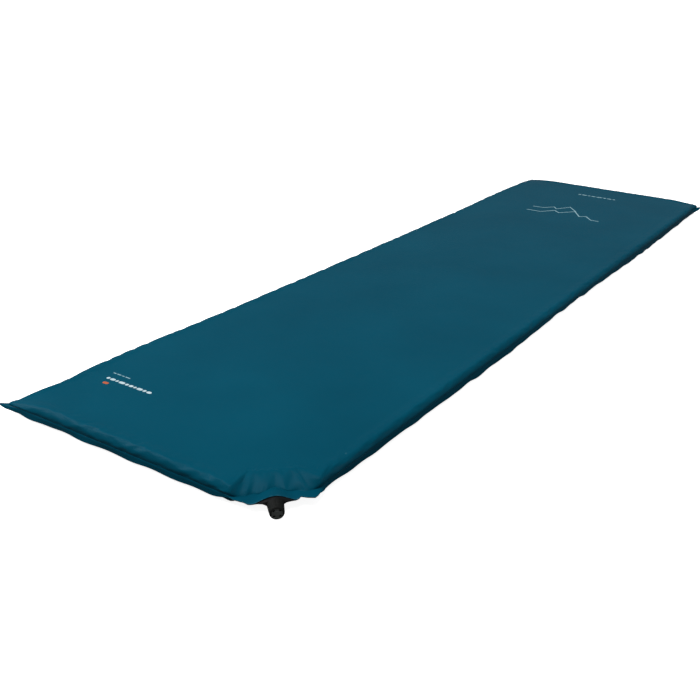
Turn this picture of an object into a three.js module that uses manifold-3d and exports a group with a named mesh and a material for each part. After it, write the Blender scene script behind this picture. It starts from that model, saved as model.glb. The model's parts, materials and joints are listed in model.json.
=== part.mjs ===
// A self-inflating sleeping mat: an open-cell foam slab sealed between two coated fabric sheets, with a
// screw valve welded into one cut corner. Millimetres, +Z up. The origin is on the ground under the middle
// of the mat, and +Y runs along it from the valve end to the far end. The valve is at the +X, -Y corner.
//
// The two sheets meet at half height in a flat weld all round. Their coatings bond the foam to both of them,
// which keeps the mat flat when it fills. The valve's soft base lies between the sheets, and a hard stem is
// pushed into it. The cap screws out along the stem: its gasket leaves the stem's mouth, and air passes round
// the gasket and through the four slots in the cap's end.
import * as THREE from "three";
import { mergeVertices } from "three/addons/utils/BufferGeometryUtils.js";
import Module from "manifold-3d";

// Driving dimensions of the mat.
const LENGTH = 1830;
const WIDTH = 510;
const THICKNESS = 30;
const WELD = 8; // width of the flat weld round the edge
const CUT = 65; // leg of the corner cut off for the valve
const EDGE_RUN = 14; // from the weld in to where the top is flat
const EDGE_POWER = 2.6; // squareness of the side wall, as a superellipse
const TIP_RADIUS = 3; // the weld's outer corners
const SHEET = 0.6;
const CLEAR = 0.15; // between faces that lie on each other
const FOAM_CLEAR = 0.5; // between the foam's rim and the side walls

// Driving dimensions of the valve, along its axis from the weld's outer edge, outwards.
const VALVE_OFF = -2.5; // how far the valve is off the middle of the cut edge
const BOAT_HALF = 28; // half the length of the soft base, along the cut edge
const BOAT_RISE = 5.6; // half its thickness, at the axis
const BOAT_DEPTH = 14; // how far it reaches in between the sheets
const BASE_FRONT = 6.4;
const STEM_IN = -16;
const STEM_MOUTH = 20.8;
const STEM_RADIUS = 3.6;
const STEM_BORE = 2.5;
const COLLAR = 8.6;
const NECK = 6.6; // the stem's radius inside the cap
const NECK_BORE = 3.6;
const PRESS_GAP = 0.3; // between the stem and the base
const CAP_START = 8;
const CAP_END = 27.2;
const CAP_RADIUS = 10.4;
const CAP_TAPER = 1; // how much thinner the cap is at its end
const CAP_BORE = 7.2;
const CAP_WALL = 2.6; // the cap's end wall
const FLUTES = 12;
const SLOTS = 4;

// The thread: one start, right-handed. The cap turns once and moves out by one lead.
const LEAD = 3;
const RIDGE_FROM = 12;
const RIDGE_TURN = 240; // degrees
const OPEN_TURN = 360;
const RIDGE = { root: NECK - 0.1, tip: 8.1, rootHalf: 0.75, tipHalf: 0.45 };
const THREAD_BORE = 7.6;
const THREAD_CLEAR = 0.3;

const ROUND = 48; // sides of a turned part
const SMALL_ROUND = 24; // sides of a small ring

const MID = THICKNESS / 2;
const DEG = Math.PI / 180;

const wasm = await Module();
wasm.setup();

const sheetLook = new THREE.MeshStandardMaterial({ color: 0x0c4a5e, roughness: 0.55, metalness: 0 });
const foamLook = new THREE.MeshStandardMaterial({ color: 0xd9d2b4, roughness: 0.95, metalness: 0 });
const softLook = new THREE.MeshStandardMaterial({ color: 0x101214, roughness: 0.6, metalness: 0 });
const hardLook = new THREE.MeshStandardMaterial({ color: 0x161819, roughness: 0.42, metalness: 0 });
const sealLook = new THREE.MeshStandardMaterial({ color: 0x2a2a2a, roughness: 0.8, metalness: 0 });

// ---------------------------------------------------------------- solids and surfaces

function solidOf(geometry) {
  const bare = new THREE.BufferGeometry().setAttribute("position", geometry.getAttribute("position"));
  if (geometry.index) bare.setIndex(geometry.index);
  const merged = mergeVertices(bare, 1e-4);
  const vertProperties = merged.attributes.position.array;
  const triVerts = new Uint32Array(merged.index.array);
  return new wasm.Manifold(new wasm.Mesh({ numProp: 3, vertProperties, triVerts }));
}

function geometryOf(solid) {
  const mesh = solid.getMesh();
  return new THREE.BufferGeometry()
    .setAttribute("position", new THREE.BufferAttribute(mesh.vertProperties, mesh.numProp))
    .setIndex(new THREE.BufferAttribute(mesh.triVerts, 1));
}

// A closed surface through rings of points: each ring joins the next, and a fan closes each end.
// The rings run anticlockwise seen from the side that the last one faces.
function skinned(rings) {
  const count = rings[0].length;
  const points = rings.flat();
  const faces = [];
  const at = (ring, i) => ring * count + (i % count);
  for (let ring = 0; ring + 1 < rings.length; ring++) {
    for (let i = 0; i < count; i++) {
      faces.push(at(ring, i), at(ring, i + 1), at(ring + 1, i + 1));
      faces.push(at(ring, i), at(ring + 1, i + 1), at(ring + 1, i));
    }
  }
  [0, rings.length - 1].forEach((ring) => {
    const middle = rings[ring].reduce((sum, p) => sum.add(p), new THREE.Vector3()).divideScalar(count);
    const hub = points.push(middle) - 1;
    for (let i = 0; i < count; i++) {
      if (ring) faces.push(at(ring, i), at(ring, i + 1), hub);
      else faces.push(at(ring, i + 1), at(ring, i), hub);
    }
  });
  const geometry = new THREE.BufferGeometry().setFromPoints(points);
  return geometry.setIndex(faces);
}

// A turned solid about +Y from [radius, height] points. The points go up the outside, then either come back
// down the bore to the first point or start and end on the axis.
function turned(profile, sides = ROUND) {
  const points = profile.map(([radius, height]) => new THREE.Vector2(radius, height));
  return solidOf(new THREE.LatheGeometry(points, sides));
}

function mesh(name, geometry, material) {
  const made = new THREE.Mesh(geometry, material);
  made.name = name;
  return made;
}

// ---------------------------------------------------------------- the mat's outline

// The corners of the weld's outer edge, anticlockwise. The valve is on the edge from CUT_CORNER to the next.
const HALF_W = WIDTH / 2;
const HALF_L = LENGTH / 2;
const CORNERS = [
  [-HALF_W, -HALF_L],
  [HALF_W - CUT, -HALF_L],
  [HALF_W, -HALF_L + CUT],
  [HALF_W, HALF_L],
  [-HALF_W, HALF_L],
].map(([x, y]) => new THREE.Vector2(x, y));
const CUT_CORNER = 1;
const CUT_ALONG = CORNERS[CUT_CORNER + 1].clone().sub(CORNERS[CUT_CORNER]).normalize();
const CUT_MIDDLE = CORNERS[CUT_CORNER].clone().add(CORNERS[CUT_CORNER + 1]).divideScalar(2);
const CUT_HALF = CUT / Math.SQRT2;
const VALVE = CUT_MIDDLE.clone().addScaledVector(CUT_ALONG, VALVE_OFF); // where its axis meets the edge
const SQUARE_STEPS = 5; // sides of the arc at a square corner, and at each end of the cut
const BLUNT_STEPS = 3;
const CUT_STEPS = 14;

function outwardNormal(corner) {
  const along = CORNERS[(corner + 1) % CORNERS.length].clone().sub(CORNERS[corner]).normalize();
  return new THREE.Vector2(along.y, -along.x);
}

// The outline moved in by inset, with its corners rounded by radius.
function outline(inset, radius) {
  const points = [];
  CORNERS.forEach((corner, k) => {
    const before = outwardNormal((k + CORNERS.length - 1) % CORNERS.length);
    const after = outwardNormal(k);
    const reach = (inset + radius) / (1 + before.dot(after));
    const centre = corner.clone().sub(before.clone().add(after).multiplyScalar(reach));
    const turn = Math.acos(before.dot(after));
    const steps = turn > 80 * DEG ? SQUARE_STEPS : BLUNT_STEPS;
    for (let i = 0; i <= steps; i++) {
      const angle = before.angle() + (turn * i) / steps;
      points.push(centre.clone().add(new THREE.Vector2(Math.cos(angle), Math.sin(angle)).multiplyScalar(radius)));
    }
  });
  const start = SQUARE_STEPS + 1 + BLUNT_STEPS; // where the cut edge begins
  const [from, to] = [points[start], points[start + 1]];
  const between = [];
  for (let i = 1; i < CUT_STEPS; i++) between.push(from.clone().lerp(to, i / CUT_STEPS));
  points.splice(start + 1, 0, ...between);
  return points;
}

// A smooth bump, 1 at the middle and 0 from half its width on.
function bump(along, halfWidth) {
  return (1 - Math.min(1, Math.abs(along) / halfWidth) ** 2) ** 2;
}

// One ring of a sheet or of the foam, level at a height above (or below) the mid-plane, except at the cut edge.
// There the valve's base lifts a share of it, and it is set back towards the middle of the mat.
const LIFT = BOAT_RISE + 0.4;
function matRing([inset, height, share], side, back) {
  const outward = outwardNormal(CUT_CORNER);
  return outline(inset, TIP_RADIUS + inset).map((p) => {
    const offset = p.clone().sub(CUT_MIDDLE);
    const along = offset.dot(CUT_ALONG);
    const onCut = Math.abs(offset.dot(outward) + inset) < 1;
    const rise = onCut ? LIFT * bump(along - VALVE_OFF, BOAT_HALF) : 0;
    const moved = onCut ? p.clone().addScaledVector(outward, -back * bump(along, CUT_HALF)) : p;
    return new THREE.Vector3(moved.x, moved.y, MID + side * (height + share * rise));
  });
}

// The side wall's outer face, from the weld up to the flat: [inset, height, share of the lift].
const WALL_STEPS = 6;
function wall() {
  const points = [];
  for (let i = 0; i <= WALL_STEPS; i++) {
    const angle = (i / WALL_STEPS) * 90 * DEG;
    const run = EDGE_RUN * (1 - Math.max(0, Math.cos(angle)) ** (2 / EDGE_POWER));
    const rise = (MID - CLEAR - SHEET) * Math.sin(angle) ** (2 / EDGE_POWER);
    const height = CLEAR + SHEET + rise;
    points.push([WELD + run, height, 1 - height / MID]);
  }
  return points;
}

// ---------------------------------------------------------------- the mat's pieces

const BACK = 10; // how far the side wall and the foam are set back behind the valve's base

function sheet(side) {
  const outer = wall();
  const inner = outer.map(([inset, height, share]) => [inset + 0.9 * SHEET, height - SHEET, share]);
  const rings = [
    ...inner.map((place) => matRing(place, side, BACK)).reverse(),
    matRing([0, CLEAR, 1], side, 0),
    matRing([0, CLEAR + SHEET, 1], side, 0),
    ...outer.map((place) => matRing(place, side, BACK)),
  ];
  return skinned(side > 0 ? rings : rings.reverse());
}

function foam() {
  const gap = SHEET + FOAM_CLEAR;
  const rim = wall().map(([inset, height, share]) => [inset + 2 * gap, height - gap, share]);
  const half = rim.filter(([, height]) => height > 1);
  half.push([WELD + EDGE_RUN + 5 * gap, MID - gap, 0]);
  const upper = half.map((place) => matRing(place, 1, BACK + 2));
  const lower = half.map((place) => matRing(place, -1, BACK + 2));
  return skinned([...lower.reverse(), ...upper]);
}

// ---------------------------------------------------------------- the valve's pieces
// Their own axes: +Y out along the valve, +X along the cut edge, +Z up.

// Sections of the soft base: place along the axis, half width, half height, and the power that thins its wings.
const BOAT_SECTIONS = [
  [-BOAT_DEPTH, 17, 5.2, 2],
  [-BOAT_DEPTH + 2, 22, BOAT_RISE, 3],
  [-4, 25.5, BOAT_RISE, 4],
  [0.6, 24.5, BOAT_RISE, 4],
  [2.4, 18, 6.2, 2.6],
  [4.2, 12.5, 7.8, 1.5],
  [5.2, 9.8, 9.2, 1],
  [BASE_FRONT, 9.4, 9.2, 1],
];
const BARBS = [-4, -10]; // the middles of the stem's ribs inside the base
const BARB_HALF = 0.9;
const BARB_RISE = 0.7;

// The stem's outside within the base as [radius, height], or the base's bore when gap is given.
function barbedStem(gap) {
  const points = [[STEM_RADIUS + gap, gap ? STEM_IN - 1 : STEM_IN + 1]];
  [...BARBS].reverse().forEach((middle) => {
    points.push([STEM_RADIUS + gap, middle - BARB_HALF - gap]);
    points.push([STEM_RADIUS + BARB_RISE + gap, middle + BARB_HALF / 2 - gap]);
    points.push([STEM_RADIUS + BARB_RISE + gap, middle + BARB_HALF + gap]);
    points.push([STEM_RADIUS + gap, middle + BARB_HALF + gap + 0.01]);
  });
  points.push([STEM_RADIUS + gap, BASE_FRONT + gap]);
  return points;
}

function valveBase() {
  const rings = BOAT_SECTIONS.map(([height, half, rise, power]) => {
    const ring = [];
    for (let i = 0; i < ROUND; i++) {
      const angle = (-i / ROUND) * 360 * DEG;
      const up = Math.sign(Math.sin(angle)) * Math.abs(Math.sin(angle)) ** power;
      ring.push(new THREE.Vector3(half * Math.cos(angle), height, rise * up));
    }
    return ring;
  });
  const bore = turned([[0, STEM_IN - 1], ...barbedStem(PRESS_GAP), [0, BASE_FRONT + PRESS_GAP]]);
  return geometryOf(solidOf(skinned(rings)).subtract(bore));
}

// A helical bar about +Y, with a section that narrows from root to tip. Angles are in degrees.
function helix({ root, tip, rootHalf, tipHalf }, fromAngle, toAngle) {
  const steps = Math.ceil((toAngle - fromAngle) / 12);
  const rings = [];
  for (let i = 0; i <= steps; i++) {
    const angle = (fromAngle + ((toAngle - fromAngle) * i) / steps) * DEG;
    const middle = RIDGE_FROM + (LEAD * angle) / (360 * DEG);
    const at = (radius, height) =>
      new THREE.Vector3(radius * Math.sin(angle), middle + height, radius * Math.cos(angle));
    rings.push([at(root, -rootHalf), at(root, rootHalf), at(tip, tipHalf), at(tip, -tipHalf)]);
  }
  return solidOf(skinned(rings));
}

const RING_MIDDLE = 19; // the O-ring's place on the stem
const RING_RADIUS = 6.2;
const RING_HALF = 0.85;
const GROOVE_HALF = 1.1;
const GROOVE_FLOOR = 5.2;

function valveStem() {
  const body = turned([
    [STEM_BORE, STEM_IN],
    [STEM_RADIUS - 0.6, STEM_IN],
    ...barbedStem(0),
    [STEM_RADIUS, BASE_FRONT + PRESS_GAP],
    [COLLAR, BASE_FRONT + PRESS_GAP],
    [COLLAR, CAP_START - PRESS_GAP],
    [NECK, CAP_START - PRESS_GAP],
    [NECK, RING_MIDDLE - GROOVE_HALF],
    [GROOVE_FLOOR, RING_MIDDLE - GROOVE_HALF],
    [GROOVE_FLOOR, RING_MIDDLE + GROOVE_HALF],
    [NECK, RING_MIDDLE + GROOVE_HALF],
    [NECK - 0.4, STEM_MOUTH - 0.3],
    [NECK_BORE + 1.2, STEM_MOUTH],
    [NECK_BORE, STEM_MOUTH - 0.2],
    [NECK_BORE, CAP_START + 2],
    [STEM_BORE, CAP_START],
    [STEM_BORE, STEM_IN],
  ]);
  return geometryOf(body.add(helix(RIDGE, 0, RIDGE_TURN)));
}

function oRing() {
  const ring = new THREE.TorusGeometry(RING_RADIUS, RING_HALF, 8, SMALL_ROUND);
  return ring.rotateX(90 * DEG).translate(0, RING_MIDDLE, 0);
}

const GASKET = { hole: 1.8, radius: 5.2, from: STEM_MOUTH + 0.3, to: STEM_MOUTH + 1.9 };
const STUD = { radius: 1.5, head: 2.4, headDepth: 0.7 };
const SEAT_RADIUS = 4.2;

function gasket() {
  const { hole, radius, from, to } = GASKET;
  const profile = [
    [hole, from],
    [radius, from],
    [radius, to],
    [hole, to],
    [hole, from],
  ];
  return geometryOf(turned(profile, SMALL_ROUND));
}

// A slot through the cap's end wall, as a curved bar about the axis.
function slot(middle) {
  const [inner, outer, half] = [4.6, 6.3, 19];
  const shape = new THREE.Shape();
  shape.absarc(0, 0, outer, (middle - half) * DEG, (middle + half) * DEG, false);
  shape.absarc(0, 0, inner, (middle + half) * DEG, (middle - half) * DEG, true);
  const bar = new THREE.ExtrudeGeometry(shape, { depth: 2 * CAP_WALL, bevelEnabled: false, curveSegments: 4 });
  return solidOf(bar.rotateX(-90 * DEG).translate(0, CAP_END - 1.5 * CAP_WALL, 0));
}

// A flute down the cap's side: a thin bar with a slightly sunk inner half, leaning with the cap's taper.
function flute(angle) {
  const bar = new THREE.CylinderGeometry(1.1, 1.1, CAP_END - CAP_START - 6, 8);
  const lean = Math.atan(CAP_TAPER / (CAP_END - CAP_START));
  bar.rotateX(-lean).translate(0, (CAP_START + CAP_END) / 2, CAP_RADIUS - CAP_TAPER / 2 + 0.55);
  return solidOf(bar.rotateY(angle * DEG));
}

function valveCap() {
  const inside = CAP_END - CAP_WALL;
  const seat = GASKET.to + PRESS_GAP;
  const head = GASKET.from - 0.2;
  const threadEnd = RIDGE_FROM + (LEAD * RIDGE_TURN) / 360 + 2;
  let cap = turned([
    [0, head - STUD.headDepth],
    [STUD.radius - 0.3, head - STUD.headDepth],
    [STUD.head, head - 0.2],
    [STUD.head, head],
    [STUD.radius, head],
    [STUD.radius, seat],
    [SEAT_RADIUS, seat],
    [SEAT_RADIUS, inside],
    [CAP_BORE, inside],
    [CAP_BORE, threadEnd],
    [THREAD_BORE, threadEnd - 0.4],
    [THREAD_BORE, CAP_START + 0.6],
    [THREAD_BORE + 0.6, CAP_START],
    [CAP_RADIUS - 0.5, CAP_START],
    [CAP_RADIUS, CAP_START + 0.7],
    [CAP_RADIUS - CAP_TAPER, CAP_END - 2.8],
    [CAP_RADIUS - CAP_TAPER - 0.5, CAP_END - 1.2],
    [CAP_RADIUS - CAP_TAPER - 1.5, CAP_END - 0.3],
    [CAP_RADIUS - CAP_TAPER - 2.6, CAP_END],
    [0, CAP_END],
  ]);
  const ridgeHalf = (RIDGE.rootHalf + RIDGE.tipHalf) / 2;
  const groove = {
    root: THREAD_BORE - 0.3,
    tip: RIDGE.tip + THREAD_CLEAR,
    rootHalf: ridgeHalf + THREAD_CLEAR,
    tipHalf: RIDGE.tipHalf + THREAD_CLEAR,
  };
  const stopGap = 6; // degrees left at each end of the groove
  cap = cap.subtract(helix(groove, -OPEN_TURN - stopGap, RIDGE_TURN + stopGap));
  for (let i = 0; i < SLOTS; i++) cap = cap.subtract(slot(((i + 0.5) * 360) / SLOTS));
  for (let i = 0; i < FLUTES; i++) cap = cap.subtract(flute((i * 360) / FLUTES));
  return geometryOf(cap);
}

// ---------------------------------------------------------------- the assembly

const mat = new THREE.Group();
mat.add(
  mesh("bottom_sheet", sheet(-1), sheetLook),
  mesh("foam_core", foam(), foamLook),
  mesh("top_sheet", sheet(1), sheetLook),
);

const valve = new THREE.Group();
valve.position.set(VALVE.x, VALVE.y, MID);
valve.rotation.z = -135 * DEG; // +Y of the valve points out of the cut corner
valve.add(
  mesh("valve_base", valveBase(), softLook),
  mesh("valve_stem", valveStem(), hardLook),
  mesh("stem_o_ring", oRing(), sealLook),
  mesh("cap_gasket", gasket(), sealLook),
  mesh("valve_cap", valveCap(), hardLook),
);
mat.add(valve);

export default mat;
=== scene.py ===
"""The look of a self-inflating sleeping mat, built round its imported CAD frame.

The frame gives the places: the mat's box, and the valve's axis. The sheets, the foam, the valve's base and
its cap are rebuilt here as finer pieces, the side walls are blown up by a cloth simulation, and the small
turned parts inside the cap stay as CAD nodes. Lengths are millimetres until a mesh is made.
"""

import json
import math
import bmesh
import bpy
import numpy as np
from mathutils import Matrix, Vector
from mathutils.geometry import delaunay_2d_cdt


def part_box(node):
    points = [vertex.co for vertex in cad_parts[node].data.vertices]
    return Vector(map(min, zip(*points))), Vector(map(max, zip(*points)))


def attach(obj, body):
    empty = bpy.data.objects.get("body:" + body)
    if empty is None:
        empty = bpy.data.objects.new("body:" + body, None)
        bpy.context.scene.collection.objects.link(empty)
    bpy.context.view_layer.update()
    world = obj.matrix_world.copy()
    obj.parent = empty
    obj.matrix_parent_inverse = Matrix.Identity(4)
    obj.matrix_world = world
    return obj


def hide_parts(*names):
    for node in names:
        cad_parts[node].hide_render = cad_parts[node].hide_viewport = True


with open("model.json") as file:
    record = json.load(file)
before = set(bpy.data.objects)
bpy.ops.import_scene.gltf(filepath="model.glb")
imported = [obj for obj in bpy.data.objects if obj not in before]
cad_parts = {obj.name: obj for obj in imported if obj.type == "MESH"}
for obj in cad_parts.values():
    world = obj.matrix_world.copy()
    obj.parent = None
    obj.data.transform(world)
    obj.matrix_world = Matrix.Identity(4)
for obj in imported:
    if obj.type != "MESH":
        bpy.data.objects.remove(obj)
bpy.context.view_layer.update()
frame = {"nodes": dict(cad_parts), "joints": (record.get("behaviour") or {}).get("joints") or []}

MM = 0.001
DEG = math.pi / 180


def mm(point):
    return np.array(point, float) / MM


# ---------------------------------------------------------------- the camera


def make_camera(place, heading, down, roll, focal, shift):
    """A camera at place, looking heading degrees left of +Y and down degrees below the horizon."""
    h, d, r = heading * DEG, down * DEG, roll * DEG
    ahead = Vector((-math.sin(h) * math.cos(d), math.cos(h) * math.cos(d), -math.sin(d)))
    level = Vector((math.cos(h), math.sin(h), 0))
    above = level.cross(ahead)
    right = math.cos(r) * level + math.sin(r) * above
    up = right.cross(ahead)
    turned = Matrix((right, up, -ahead)).transposed().to_4x4()
    lens = bpy.data.cameras.new("camera")
    lens.sensor_width = 36
    lens.lens = focal
    lens.shift_x = shift
    lens.clip_start = 0.01
    lens.clip_end = 200
    camera = bpy.data.objects.new("camera", lens)
    camera.matrix_world = Matrix.Translation(place) @ turned
    bpy.context.scene.collection.objects.link(camera)
    bpy.context.scene.camera = camera


make_camera((0.8197, -1.5916, 0.6205), heading=31.517, down=23.602, roll=1.77, focal=45.83, shift=-0.0652)

# ---------------------------------------------------------------- sizes, from the frame

LOW, HIGH = (mm(corner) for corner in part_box("top_sheet"))
HALF_W, HALF_L = (HIGH[:2] - LOW[:2]) / 2
TOP = HIGH[2]
TURN = next(joint for joint in frame["joints"] if joint["name"] == "cap_turn")
VALVE = mm(TURN["pos_m"])  # where the valve's axis meets the weld's outer edge
VALVE_OUT = np.array(TURN["axis"], float)
MID = VALVE[2]

WELD = 8  # width of the flat weld round the edge
CUT = 65  # leg of the corner cut off for the valve
TIP_RADIUS = 3
BODY_RADIUS = 8  # the largest radius of a corner of the inflated body
RADIUS_GROWTH = 0.4  # of a corner's radius, with depth in from the outline
EDGE_RUN = 10  # from the weld in to where the top is flat
EDGE_POWER = 2.4  # squareness of the side wall, as a superellipse
UNDER_RUN = 7  # how much further in the lower half of the wall runs
UNDER_POWER = 2  # the most squareness of the lower half
CLOTH = 0.45  # thickness of a sheet
FACE = 0.5  # the outer face of each sheet above the plane where they meet
FOAM_GAP = 0.25  # between a sheet and the foam

# ---------------------------------------------------------------- the mat's outline

CORNERS = np.array(
    [
        [-HALF_W, -HALF_L],
        [HALF_W - CUT, -HALF_L],
        [HALF_W, -HALF_L + CUT],
        [HALF_W, HALF_L],
        [-HALF_W, HALF_L],
    ]
)
NEAR_LEFT, CUT_START, CUT_END, FAR_RIGHT, FAR_LEFT = range(5)
SQUARE_STEPS = 12  # sides of the arc at a square corner
BLUNT_STEPS = 6
SPACING = {NEAR_LEFT: 4.5, CUT_START: 2.2, CUT_END: 5.5, FAR_RIGHT: 5.5, FAR_LEFT: 5.5}


def unit(vector):
    return vector / np.linalg.norm(vector)


def edge_normal(corner):
    """The outward normal of the edge that starts at a corner."""
    along = unit(CORNERS[(corner + 1) % len(CORNERS)] - CORNERS[corner])
    return np.array([along[1], -along[0]])


def outline(inset, radius):
    """The outline moved in by inset, with rounded corners: anticlockwise points and outward normals."""
    arcs = []
    for k, corner in enumerate(CORNERS):
        before, after = edge_normal(k - 1 if k else len(CORNERS) - 1), edge_normal(k)
        centre = corner - (before + after) * (inset + radius) / (1 + before @ after)
        turn = math.acos(before @ after)
        steps = SQUARE_STEPS if turn > 80 * DEG else BLUNT_STEPS
        angles = math.atan2(before[1], before[0]) + turn * np.arange(steps + 1) / steps
        normals = np.column_stack([np.cos(angles), np.sin(angles)])
        arcs.append((centre + radius * normals, normals))
    points, normals = [], []
    for k, (arc, arc_normals) in enumerate(arcs):
        points.append(arc)
        normals.append(arc_normals)
        start, end = arc[-1], arcs[(k + 1) % len(arcs)][0][0]
        length = np.linalg.norm(CORNERS[(k + 1) % len(CORNERS)] - CORNERS[k])
        count = round(length / SPACING[k])
        share = (np.arange(1, count) / count)[:, None]
        points.append(start + (end - start) * share)
        normals.append(np.tile(edge_normal(k), (count - 1, 1)))
    return np.vstack(points), np.vstack(normals)


EDGE, NORMAL = outline(0, TIP_RADIUS)
COLUMNS = len(EDGE)
STEPS_ALONG = np.linalg.norm(np.roll(EDGE, -1, axis=0) - EDGE, axis=1)
AROUND = STEPS_ALONG.sum()
ALONG = np.concatenate([[0], np.cumsum(STEPS_ALONG)[:-1]])
ALONG = ALONG - ALONG[np.argmin(np.linalg.norm(EDGE - VALVE[:2], axis=1))]
ALONG = (ALONG + AROUND / 2) % AROUND - AROUND / 2  # from the valve's axis, + towards the cut's +X end


# ---------------------------------------------------------------- small functions of place


def smoothstep(value):
    value = np.clip(value, 0, 1)
    return value * value * (3 - 2 * value)


def between(place, start, fade_in, end, fade_out):
    """1 between start and end, rising after start over fade_in and falling before end over fade_out."""
    return smoothstep((place - start) / fade_in) * smoothstep((end - place) / fade_out)


def bump(place, half_width):
    """A smooth hump, 1 high at place 0."""
    return (1 - np.minimum(1, np.abs(place) / half_width) ** 2) ** 2


def curve(points, places):
    """A smooth curve through [place, value] points, level beyond both ends."""
    xs, ys = np.array(points, float).T
    slopes = np.gradient(ys, xs)
    slopes[0] = slopes[-1] = 0
    i = np.clip(np.searchsorted(xs, places) - 1, 0, len(xs) - 2)
    width = xs[i + 1] - xs[i]
    t = np.clip((places - xs[i]) / width, 0, 1)
    blend = smoothstep(t)
    start = slopes[i] * width * t * (1 - t) ** 2
    end = slopes[i + 1] * width * t * t * (1 - t)
    return ys[i] * (1 - blend) + ys[i + 1] * blend + start - end


def ripple(seed, places, shortest, longest, terms=14):
    """A seeded sum of sines round the outline, about 1 high, with wavelengths between two lengths."""
    rng = np.random.default_rng(seed)
    total = np.zeros_like(places)
    for _ in range(terms):
        turns = round(AROUND / rng.uniform(shortest, longest))
        total += np.sin(2 * math.pi * turns * places / AROUND + rng.uniform(0, 2 * math.pi))
    return total / math.sqrt(terms)


def dips(seed, x, y, size, terms=10):
    """A seeded sum of sines over the mat, about 1 high, with features of about size."""
    rng = np.random.default_rng(seed)
    total = np.zeros_like(x)
    for _ in range(terms):
        angle = rng.uniform(0, math.pi)
        length = size * rng.uniform(0.7, 1.6)
        phase = rng.uniform(0, 2 * math.pi)
        total += np.sin(2 * math.pi * (x * math.cos(angle) + y * math.sin(angle)) / length + phase)
    return total / math.sqrt(terms)


def face_height(x, y):
    """The top face above the floor: flat to within the foam's unevenness."""
    return TOP + 0.16 * dips(5, x, y, 300) + 0.06 * dips(6, x, y, 80)


# ---------------------------------------------------------------- round the valve

# How far the foot of the side wall is set back behind the weld, by place along the edge.
SET_BACK = [
    [-62, 0], [-54, 2], [-46, 7], [-37, 12], [-25, 10], [-12, 13], [0, 17],
    [5, 17], [11, 14], [17, 11], [27, 10], [37, 11], [46, 7], [58, 2], [68, 0],
]  # fmt: skip
# How far the weld's own edge is pulled in (+) or stands out (-).
PULL_IN = [
    [-95, 0], [-75, 3], [-62, 7], [-52, 4], [-44, 5], [-38, 3], [-33, 0], [-27, -2], [-21, -1],
    [-15, 0], [20, 0], [25, -1.5], [29, 0], [33, 3.5], [38, 0.5], [45, -1.5], [53, -2], [62, 1],
    [80, 2.5], [110, 1.5], [150, 0.5], [200, 0],
]  # fmt: skip
BOAT_HALF = 28  # half the length of the valve's soft base, along the edge
BOAT_DEPTH = 14
LIFT = 6  # how far the base lifts the sheets apart at its middle
LIFT_LOSS = 0.35  # the share of it that is lost behind the base, over LIFT_FADE
LIFT_FADE = 10
SLOPE_RUN = 30.5  # how much further in the side wall's slope ends behind the valve
SOFTER = 1.1  # how much rounder it is there
# How far the weld's edge hangs (-) or stands up (+) beside the valve's base.
DROOP = [[-60, 0], [-45, 0.5], [-33, -1], [-24, 0], [24, 0], [34, 0.8], [60, 0]]
# How far the inflated left side is drawn in, by place along the mat.
WAIST = [
    [-900, 0], [-868, 12], [-845, 13], [-800, 9.5], [-480, 11.5],
    [-200, 11], [150, 9], [420, 5.5], [690, -2], [880, 0],
]  # fmt: skip
LONGER = 0.7  # how much wider the weld is along the sides than at the valve
BULGE = 2.5  # how far the upper half of the wall bulges out over the hanging weld
RIGHT_BULGE = 4.5  # how much more it does so on the right side
# How much longer (-) or shorter (+) the weld hangs, by place along the right side.
SAG = [[-700, 0], [-450, -2], [-280, -3], [-80, 1.5], [150, 1], [400, -3.5], [650, -2.5], [880, 0]]

soft = between(ALONG, -62, 14, 70, 22)  # 1 where the wall slopes behind the valve
on_left = EDGE[:, 0] < -HALF_W + 0.5
on_right = EDGE[:, 0] > HALF_W - 0.5
waist = curve(WAIST, EDGE[:, 1]) * on_left
sag = curve(SAG, EDGE[:, 1]) * on_right
set_back = curve(SET_BACK, ALONG) + waist
pull_in = curve(PULL_IN, ALONG) - LONGER * (1 - soft) + waist + sag
lift = LIFT * bump(ALONG, BOAT_HALF)
droop = curve(DROOP, ALONG)
fuller = on_right * between(EDGE[:, 1], -835, 90, 885, 70)
bulge = BULGE * (1 - soft) + RIGHT_BULGE * fuller
wall_end = WELD + waist + EDGE_RUN + SLOPE_RUN * soft
wall_run = wall_end - WELD - set_back
wall_power = EDGE_POWER - SOFTER * soft

# ---------------------------------------------------------------- the sheets' points

WELD_SHARES = np.linspace(0, 1, 10)  # rings over the weld, from its edge to the foot of the wall
WALL_TURNS = np.linspace(0, 1, 13)[1:]  # rings up the wall, as shares of a quarter turn
TOP_INSETS = (24, 29, 35, 42, 50, 59, 69, 80)  # rings on the flat face, in from the outline
WELD_RINGS = len(WELD_SHARES)
WALL_RINGS = WELD_RINGS + len(WALL_TURNS)
# How far the weld's tip stands off at each square corner.
EARS = {NEAR_LEFT: (-13, -1, 1.5), FAR_LEFT: (-8, 1, 1.5), FAR_RIGHT: (4, 2, 3.5)}
EAR_REACH = 21
EAR_HOLD = 0.65  # the share of an ear's pull that the inflated body follows
SINKS = {NEAR_LEFT: 0.8, FAR_LEFT: 0.35, FAR_RIGHT: 0.4}  # how much thinner the body is at a corner's tip
SINK_REACH = 48


def weld_wave():
    """How the weld waves up and down: more in some stretches than in others."""
    calm = 0.35 + 0.65 * smoothstep((ripple(2, ALONG, 300, 900) + 0.6) / 1.2)
    return 0.9 * calm * ripple(1, ALONG, 38, 110)


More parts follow.
